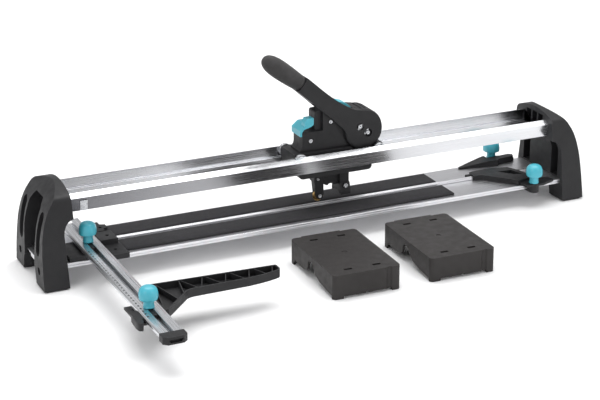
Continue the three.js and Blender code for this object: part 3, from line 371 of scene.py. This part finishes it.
MATERIALS = {
    "black_plastic": moulded_plastic(
        "black_plastic", (0.0125, 0.0123, 0.0135), (0.018, 0.0178, 0.019), 0.5),
    "support_plastic": moulded_plastic(
        "support_plastic", (0.0205, 0.0182, 0.0175), (0.0275, 0.0245, 0.0235), 0.54),
    "grip_rubber": grip_rubber(),
    "rubber": sole_rubber(),
    "foam": bed_foam(),
    "turquoise_plastic": turquoise_plastic(),
    "satin_aluminium": drawn_metal(
        "satin_aluminium", (0.62, 0.62, 0.64), (0.76, 0.76, 0.78), 0.36, "X"),
    "bar_aluminium": drawn_metal(
        "bar_aluminium", (0.6, 0.61, 0.63), (0.74, 0.75, 0.77), 0.3, "Y"),
    "polished_rail": drawn_metal(
        "polished_rail", (0.5, 0.5, 0.52), (0.66, 0.67, 0.69), 0.22, "X", RAIL_WAVE),
    "front_rail": front_rail(),
    "steel": zinc_steel(),
    "brass": wheel_gold(),
}


# ---- CAD nodes that stay --------------------------------------------------------
RECORD = frame["record"]
SLOTS = {part["node"]: part["material_slot"] for part in RECORD["subparts"]}
BODIES = RECORD["behaviour"]["bodies"]
BODY_OF = {node: body for body, nodes in BODIES.items() for node in nodes}
OWN_MATERIALS = {"stop_bar": "bar_aluminium", "rail_front": "front_rail"}
# Rounding of the edges in millimetres, of the nodes whose edges are softer than usual.
EDGE_WIDTHS = {
    "end_frame_left": 1.6,
    "end_frame_right": 1.6,
    "side_support_left": 1.2,
    "side_support_right": 1.2,
    "housing_front": 0.8,
    "housing_rear": 0.8,
    "stop_arm": 0.5,
    "rail_front": 0.5,
    "rail_rear": 0.5,
    "stop_bar": 0.4,
    "base_plate": 0.3,
}
USUAL_EDGE_WIDTH = 0.35


def round_edges(node, width):
    """Rounds a solid's edges so that they catch the light, and shades its curves smoothly."""
    for polygon in node.data.polygons:
        polygon.use_smooth = True
    weld = node.modifiers.new("weld", "WELD")
    weld.merge_threshold = 0.002 * MM
    flats = node.modifiers.new("flats", "DECIMATE")
    flats.decimate_type = "DISSOLVE"
    flats.angle_limit = math.radians(0.6)
    bevel = node.modifiers.new("edges", "BEVEL")
    bevel.width = width
    bevel.segments = 3
    bevel.limit_method = "ANGLE"
    bevel.angle_limit = math.radians(26)
    bevel.miter_outer = "MITER_ARC"
    shade = node.modifiers.new("shade", "WEIGHTED_NORMAL")
    shade.keep_sharp = True


def dress_cad_nodes():
    """Gives every CAD node its finish, and rounds the edges of those that stay visible."""
    for name, node in NODES.items():
        slot = SLOTS[name]
        material = MATERIALS[OWN_MATERIALS.get(name, slot)]
        node.data.materials.clear()
        node.data.materials.append(material)
        if not node.hide_render:
            round_edges(node, EDGE_WIDTHS.get(name, USUAL_EDGE_WIDTH) * MM)


# ---- building pieces ------------------------------------------------------------
def centre_of(node):
    low_corner, high_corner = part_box(node)
    return (low_corner + high_corner) / 2


def add_piece(mesh, node, slot, place=Matrix.Identity(4), replaced=True, material=None):
    """Shows a finished mesh, moved to its place, as a piece that rides on the body of a CAD node."""
    mesh.transform(place)
    mesh.materials.append(material or MATERIALS[slot])
    for polygon in mesh.polygons:
        polygon.use_smooth = True
    piece = bpy.data.objects.new(mesh.name, mesh)
    bpy.context.scene.collection.objects.link(piece)
    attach(piece, BODY_OF[node])
    if replaced:
        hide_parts(node)
    return piece


def mesh_from(bm, name):
    bmesh.ops.recalc_face_normals(bm, faces=bm.faces)
    mesh = bpy.data.meshes.new(name)
    bm.to_mesh(mesh)
    bm.free()
    return mesh


def lathe(name, profile, segments=96, lobes=None):
    """A body of revolution about Z from (radius, height) points in metres.

    `lobes(height)` gives the depth by which the radius swings round the circle, with LOBES scallops.
    """
    bm = bmesh.new()
    rings = []
    for radius, height in profile:
        if radius == 0:
            rings.append([bm.verts.new((0, 0, height))])
            continue
        swing = lobes(height) if lobes else 0.0
        ring = []
        for step in range(segments):
            angle = 2 * math.pi * step / segments
            reach = radius - swing * (0.5 + 0.5 * math.cos(LOBES * angle))
            ring.append(bm.verts.new((reach * math.cos(angle), reach * math.sin(angle), height)))
        rings.append(ring)
    for below, above in zip(rings, rings[1:]):
        for step in range(segments):
            after = (step + 1) % segments
            corners = [
                below[step % len(below)],
                below[after % len(below)],
                above[after % len(above)],
                above[step % len(above)],
            ]
            unique = list(dict.fromkeys(corners))
            if len(unique) > 2:
                bm.faces.new(unique)
    return mesh_from(bm, name)


def rounded(profile, rounds=3):
    """Softens the corners of a profile by cutting them again and again, and keeps its two ends."""
    points = [Vector(point) for point in profile]
    for _ in range(rounds):
        softer = [points[0]]
        for start, end in zip(points, points[1:]):
            softer += [start.lerp(end, 0.25), start.lerp(end, 0.75)]
        points = softer + [points[-1]]
    return [(max(point.x, 0.0), point.y) for point in points]


def facing(place, axis):
    """A frame at `place` whose Z runs along `axis`."""
    return Matrix.Translation(place) @ Vector(axis).to_track_quat("Z", "Y").to_matrix().to_4x4()


# ---- clamping knobs -------------------------------------------------------------
LOBES = 4
KNOB_SEGMENTS = 128
# How far each knob has been turned, in degrees.
KNOBS = {"bar_knob": -20, "arm_knob": -20, "stop_front_knob": -20, "stop_rear_knob": 12}


def knob_mesh(name, cap, height):
    """A domed cap with a rolled skirt and shallow finger scallops, on a stem with a collar."""
    stem = cap * 0.565
    skirt = height * 0.4
    profile = [
        (0, height * 0.02),
        (stem * 0.45, height * 0.02),
        (stem * 0.47, 0),
        (stem * 0.92, 0),
        (stem, height * 0.02),
        (stem, height * 0.07),
        (stem * 0.93, height * 0.085),
        (stem * 0.9, height * 0.3),
        (stem * 0.94, skirt - 1.2 * MM),
        (stem * 1.02, skirt),
        (cap * 0.84, skirt - 0.3 * MM),
        (cap * 0.93, skirt - 0.2 * MM),
        (cap * 0.985, skirt + 0.8 * MM),
        (cap, skirt + 2.6 * MM),
        (cap, height * 0.6),
        (cap * 0.965, height * 0.7),
        (cap * 0.88, height * 0.81),
        (cap * 0.73, height * 0.9),
        (cap * 0.5, height * 0.963),
        (cap * 0.25, height * 0.992),
        (0, height),
    ]
    depth = 0.075 * cap
    fade = height * 0.5

    def lobes(at):
        if at < skirt - 0.5 * MM:
            return 0.0
        return depth * max(0.0, 1 - (at - skirt) / fade)

    return lathe(name, rounded(profile, 2), KNOB_SEGMENTS, lobes)


def add_knobs():
    for node, turned in KNOBS.items():
        low_corner, high_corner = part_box(node)
        middle = centre_of(node)
        cap = (high_corner.x - low_corner.x) / 2
        mesh = knob_mesh(f"{node}_body", cap, high_corner.z - low_corner.z)
        turn = Matrix.Rotation(math.radians(turned), 4, "Z")
        place = Matrix.Translation((middle.x, middle.y, low_corner.z)) @ turn
        add_piece(mesh, node, "turquoise_plastic", place)


# ---- grip -----------------------------------------------------------------------
LEVER_RISE = math.radians(39.3)
HUB = Vector(JOINTS["lever_swing"]["pos_m"])
LEVER_FRAME = Matrix.Translation(HUB) @ Matrix.Rotation(LEVER_RISE, 4, "Y")
GRIP_START = 122.3 * MM
GRIP_RISE = 0.3 * MM
GRIP_LENGTH = 73 * MM
GRIP_RADIUS = 14.4 * MM
GRIP_TURN = math.radians(-91.8)
GRIP_SEGMENTS = 112
GRIP_FLATNESS = 0.985
SEAM_REACH = 0.35 * MM
SEAM_SWELL = 1.012
# The grip's radius, as a share of its full one, at shares of its length from the root.
GRIP_SHARES = [
    (0, 0), (0.74, 0), (0.8, 0.006), (0.82, 0.02), (0.82, 0.032), (0.8, 0.036), (0.81, 0.044),
    (0.86, 0.06), (0.9, 0.14), (0.94, 0.26), (0.975, 0.4), (1, 0.56), (0.985, 0.68), (0.93, 0.77),
    (0.84, 0.85), (0.69, 0.92), (0.48, 0.97), (0.25, 0.993), (0, 1),
]


def grip_mesh():
    """A full grip, oval in section, with a collar at its root, a rounded tip and a faint mould seam."""
    profile = [(radius * GRIP_RADIUS, height * GRIP_LENGTH) for radius, height in GRIP_SHARES]
    mesh = lathe("handle_grip_body", rounded(profile, 2), GRIP_SEGMENTS)
    for vertex in mesh.vertices:
        if abs(vertex.co.x) <= SEAM_REACH:
            vertex.co.y *= SEAM_SWELL
        vertex.co.x *= GRIP_FLATNESS
    return mesh


def add_grip():
    root = Matrix.Translation((-GRIP_START, 0, GRIP_RISE))
    place = LEVER_FRAME @ root @ Matrix.Rotation(GRIP_TURN, 4, "Y")
    add_piece(grip_mesh(), "handle_grip", "grip_rubber", place)


# ---- screws, rollers and the wheel ----------------------------------------------
SCREW_SIDES = 6
SCREW_SEGMENTS = 96
# CAD node, the radii of its head and shank in millimetres, and the side that its head faces.
SCREWS = [
    ("housing_screw_1", 3.2, 1.5, -1),
    ("housing_screw_2", 3.2, 1.5, -1),
    ("wheel_axle", 3.0, 1.5, -1),
    ("foot_screw", 3.6, 2.0, -1),
    ("hub_screw_1", 3.2, 1.6, -1),
    ("hub_screw_2", 3.2, 1.6, -1),
    ("hub_screw_3", 3.2, 1.6, 1),
    ("hub_screw_4", 3.2, 1.6, 1),
]
MOST_HEAD_DEPTH = 2.4 * MM


def socket_screw_mesh(name, radius, depth, shank, length):
    """A pan head with a rounded rim and a hexagonal recess, its face at z = 0 and its shank below."""
    flat = math.pi / SCREW_SIDES
    turns = [2 * math.pi * step / SCREW_SEGMENTS for step in range(SCREW_SEGMENTS)]
    rim = [
        (shank, -length),
        (shank, -depth),
        (radius, -depth),
        (radius, -0.3 * radius),
        (0.96 * radius, -0.1 * radius),
        (0.88 * radius, -0.02 * radius),
        (0.72 * radius, 0.0),
    ]
    recess = [(0.53 * radius, 0.0), (0.5 * radius, -0.05 * radius), (0.49 * radius, -0.5 * radius)]
    bm = bmesh.new()
    rings = []
    for reach, height in rim:
        corners = [(reach * math.cos(turn), reach * math.sin(turn), height) for turn in turns]
        rings.append([bm.verts.new(corner) for corner in corners])
    for reach, height in recess:
        ring = []
        for turn in turns:
            within = turn % (2 * flat) - flat
            out = reach * math.cos(flat) / math.cos(within)
            ring.append(bm.verts.new((out * math.cos(turn), out * math.sin(turn), height)))
        rings.append(ring)
    for outer, inner in zip(rings, rings[1:]):
        for step in range(SCREW_SEGMENTS):
            after = (step + 1) % SCREW_SEGMENTS
            bm.faces.new((outer[step], outer[after], inner[after], inner[step]))
    bm.faces.new(rings[0])
    bm.faces.new(rings[-1])
    return mesh_from(bm, name)


def add_screws():
    for node, radius, shank, side in SCREWS:
        low_corner, high_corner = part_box(node)
        middle = centre_of(node)
        face = low_corner.y if side < 0 else high_corner.y
        length = high_corner.y - low_corner.y
        depth = min(0.8 * length, MOST_HEAD_DEPTH)
        mesh = socket_screw_mesh(f"{node}_head", radius * MM, depth, shank * MM, length)
        place = facing((middle.x, face, middle.z), (0, side, 0))
        add_piece(mesh, node, "steel", place)


ROLLERS = ("roller_front_left", "roller_rear_left", "roller_front_right", "roller_rear_right")
ROLLER_BORE = 3.1 * MM
# Radius and half width of a bearing's side, from its rim inwards, as shares of the full ones:
# the outer race, the recessed shield and the inner race.
BEARING_SIDE = [
    (1.0, 0.82), (0.97, 1.0), (0.85, 1.0), (0.83, 0.93), (0.81, 0.78), (0.56, 0.78), (0.54, 0.93),
    (0.52, 1.0), (0.4, 1.0),
]


def bearing_mesh(name, radius, width):
    half = width / 2
    front = [(share * radius, -height * half) for share, height in reversed(BEARING_SIDE)]
    back = [(share * radius, height * half) for share, height in BEARING_SIDE]
    bore = [(ROLLER_BORE, half), (ROLLER_BORE, -half)]
    return lathe(name, bore[1:] + front + back + bore)


def add_rollers():
    for node in ROLLERS:
        low_corner, high_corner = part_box(node)
        size = high_corner - low_corner
        mesh = bearing_mesh(f"{node}_bearing", size.x / 2, size.y)
        add_piece(mesh, node, "steel", facing(centre_of(node), (0, 1, 0)))


WHEEL_BORE = 1.8 * MM
WHEEL_SEGMENTS = 128


def add_wheel():
    """The scoring wheel: a ground double bevel on a thicker hub."""
    low_corner, high_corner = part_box("scoring_wheel")
    radius = (high_corner.x - low_corner.x) / 2
    half = (high_corner.y - low_corner.y) / 2
    side = [
        (WHEEL_BORE, half),
        (0.36 * radius, half),
        (0.38 * radius, half * 0.8),
        (0.78 * radius, half * 0.8),
        (0.8 * radius, half * 0.74),
        (0.985 * radius, half * 0.08),
        (radius, 0),
    ]
    near = [(reach, -height) for reach, height in side]
    far = list(reversed(side[:-1]))
    mesh = lathe("scoring_wheel_disc", near + far + near[:1], WHEEL_SEGMENTS)
    place = facing(centre_of("scoring_wheel"), (0, 1, 0))
    add_piece(mesh, "scoring_wheel", "brass", place)


# ---- foam pads ------------------------------------------------------------------
PAD_STEPS_ALONG = 220
PAD_STEPS_ACROSS = 18
PAD_EDGE = 0.9 * MM
PAD_SETTLED = 0.22 * MM
PAD_LIFT = 0.05 * MM


def pad_height(x, y, height, inset):
    """Height of a pad's top, rounded off at its edges and very slightly uneven from use."""
    drop = PAD_EDGE * (1 - min(1.0, inset / (2.2 * PAD_EDGE))) ** 2
    dents = 0.12 * MM * math.sin(31 * x + 2.1) * math.sin(160 * y + 0.7)
    sway = 0.1 * MM * math.sin(73 * x)
    return height - drop - PAD_SETTLED + (dents + sway) * min(1.0, inset / (6 * MM))


def pad_mesh(name, length, width, height):
    """A foam strip with soft cut edges."""
    bm = bmesh.new()
    grid = {}
    for i in range(PAD_STEPS_ALONG + 1):
        for j in range(PAD_STEPS_ACROSS + 1):
            x = -length / 2 + length * i / PAD_STEPS_ALONG
            y = -width / 2 + width * j / PAD_STEPS_ACROSS
            inset = min(length / 2 - abs(x), width / 2 - abs(y))
            grid[i, j] = bm.verts.new((x, y, pad_height(x, y, height, inset)))
    for i in range(PAD_STEPS_ALONG):
        for j in range(PAD_STEPS_ACROSS):
            bm.faces.new((grid[i, j], grid[i + 1, j], grid[i + 1, j + 1], grid[i, j + 1]))
    rim = [edge for edge in bm.edges if edge.is_boundary]
    walls = bmesh.ops.extrude_edge_only(bm, edges=rim)["geom"]
    for item in walls:
        if isinstance(item, bmesh.types.BMVert):
            item.co.z = PAD_LIFT
    bmesh.ops.contextual_create(bm, geom=[edge for edge in bm.edges if edge.is_boundary])
    return mesh_from(bm, name)


def add_pads():
    for node in ("pad_front", "pad_rear"):
        low_corner, high_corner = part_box(node)
        size = high_corner - low_corner
        middle = centre_of(node)
        mesh = pad_mesh(f"{node}_foam", size.x, size.y, size.z)
        place = Matrix.Translation((middle.x, middle.y, low_corner.z))
        pad = add_piece(mesh, node, "foam", place)


# ---- marks on the stop bar ------------------------------------------------------
MARK_PITCH = 9.2 * MM
MARK_COUNT = 27
MARK_LIFT = 0.15 * MM
PIT_INSET = 4.6 * MM
PIT_REACH = (1.3 * MM, 1.9 * MM)
PIT_CORNERS = 20
LINES_PER_MARK = 4
LINE_INSET = 1.6 * MM
LINE_WIDTH = 0.35 * MM
LONG_LINE, SHORT_LINE = 2.6 * MM, 1.5 * MM


def mark_finish(name, colour):
    """Matt ink or shadow, with paler dust in it."""
    finish = Finish(name, colour, 0.6)
    dusty = tuple(channel * 2.2 + 0.01 for channel in colour)
    finish.colour_between(finish.noise(400, detail=3), colour, dusty)
    finish.roughness_from(finish.noise(900), 0.5, 0.7)
    return finish.material


def add_bar_marks():
    """A row of round stop pits along the bar's left edge, drawn as flat dark discs of painted shadow, and fine
    printed lines along its right one.
    """
    low_corner, high_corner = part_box("stop_bar")
    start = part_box("arm_slide")[0].y - 3 * MM
    top = high_corner.z + MARK_LIFT
    pit_x = low_corner.x + PIT_INSET
    right = high_corner.x - LINE_INSET
    pits = bmesh.new()
    lines = bmesh.new()
    for count in range(MARK_COUNT):
        y = start + count * MARK_PITCH
        ring = []
        for corner in range(PIT_CORNERS):
            angle = 2 * math.pi * corner / PIT_CORNERS
            place = (pit_x + PIT_REACH[0] * math.cos(angle), y + PIT_REACH[1] * math.sin(angle), top)
            ring.append(pits.verts.new(place))
        pits.faces.new(ring)
        for part in range(LINES_PER_MARK):
            left = right - (LONG_LINE if part == 0 else SHORT_LINE)
            near = y + part * MARK_PITCH / LINES_PER_MARK
            far = near + LINE_WIDTH
            corners = ((left, near), (right, near), (right, far), (left, far))
            lines.faces.new([lines.verts.new((*corner, top)) for corner in corners])
    # The pits are painted shadow on flat discs; the scale lines are printed ink.
    pit_shadow = mark_finish("pit_shadow", (0.03, 0.03, 0.032))
    scale_ink = mark_finish("scale_ink", (0.16, 0.05, 0.05))
    for name, bm, material in (("bar_pits", pits, pit_shadow), ("bar_scale", lines, scale_ink)):
        mesh = mesh_from(bm, name)
        add_piece(mesh, "stop_bar", "satin_aluminium", replaced=False, material=material)


add_camera()
add_stage()
add_knobs()
add_grip()
add_screws()
add_rollers()
add_wheel()
add_pads()
add_bar_marks()
dress_cad_nodes()
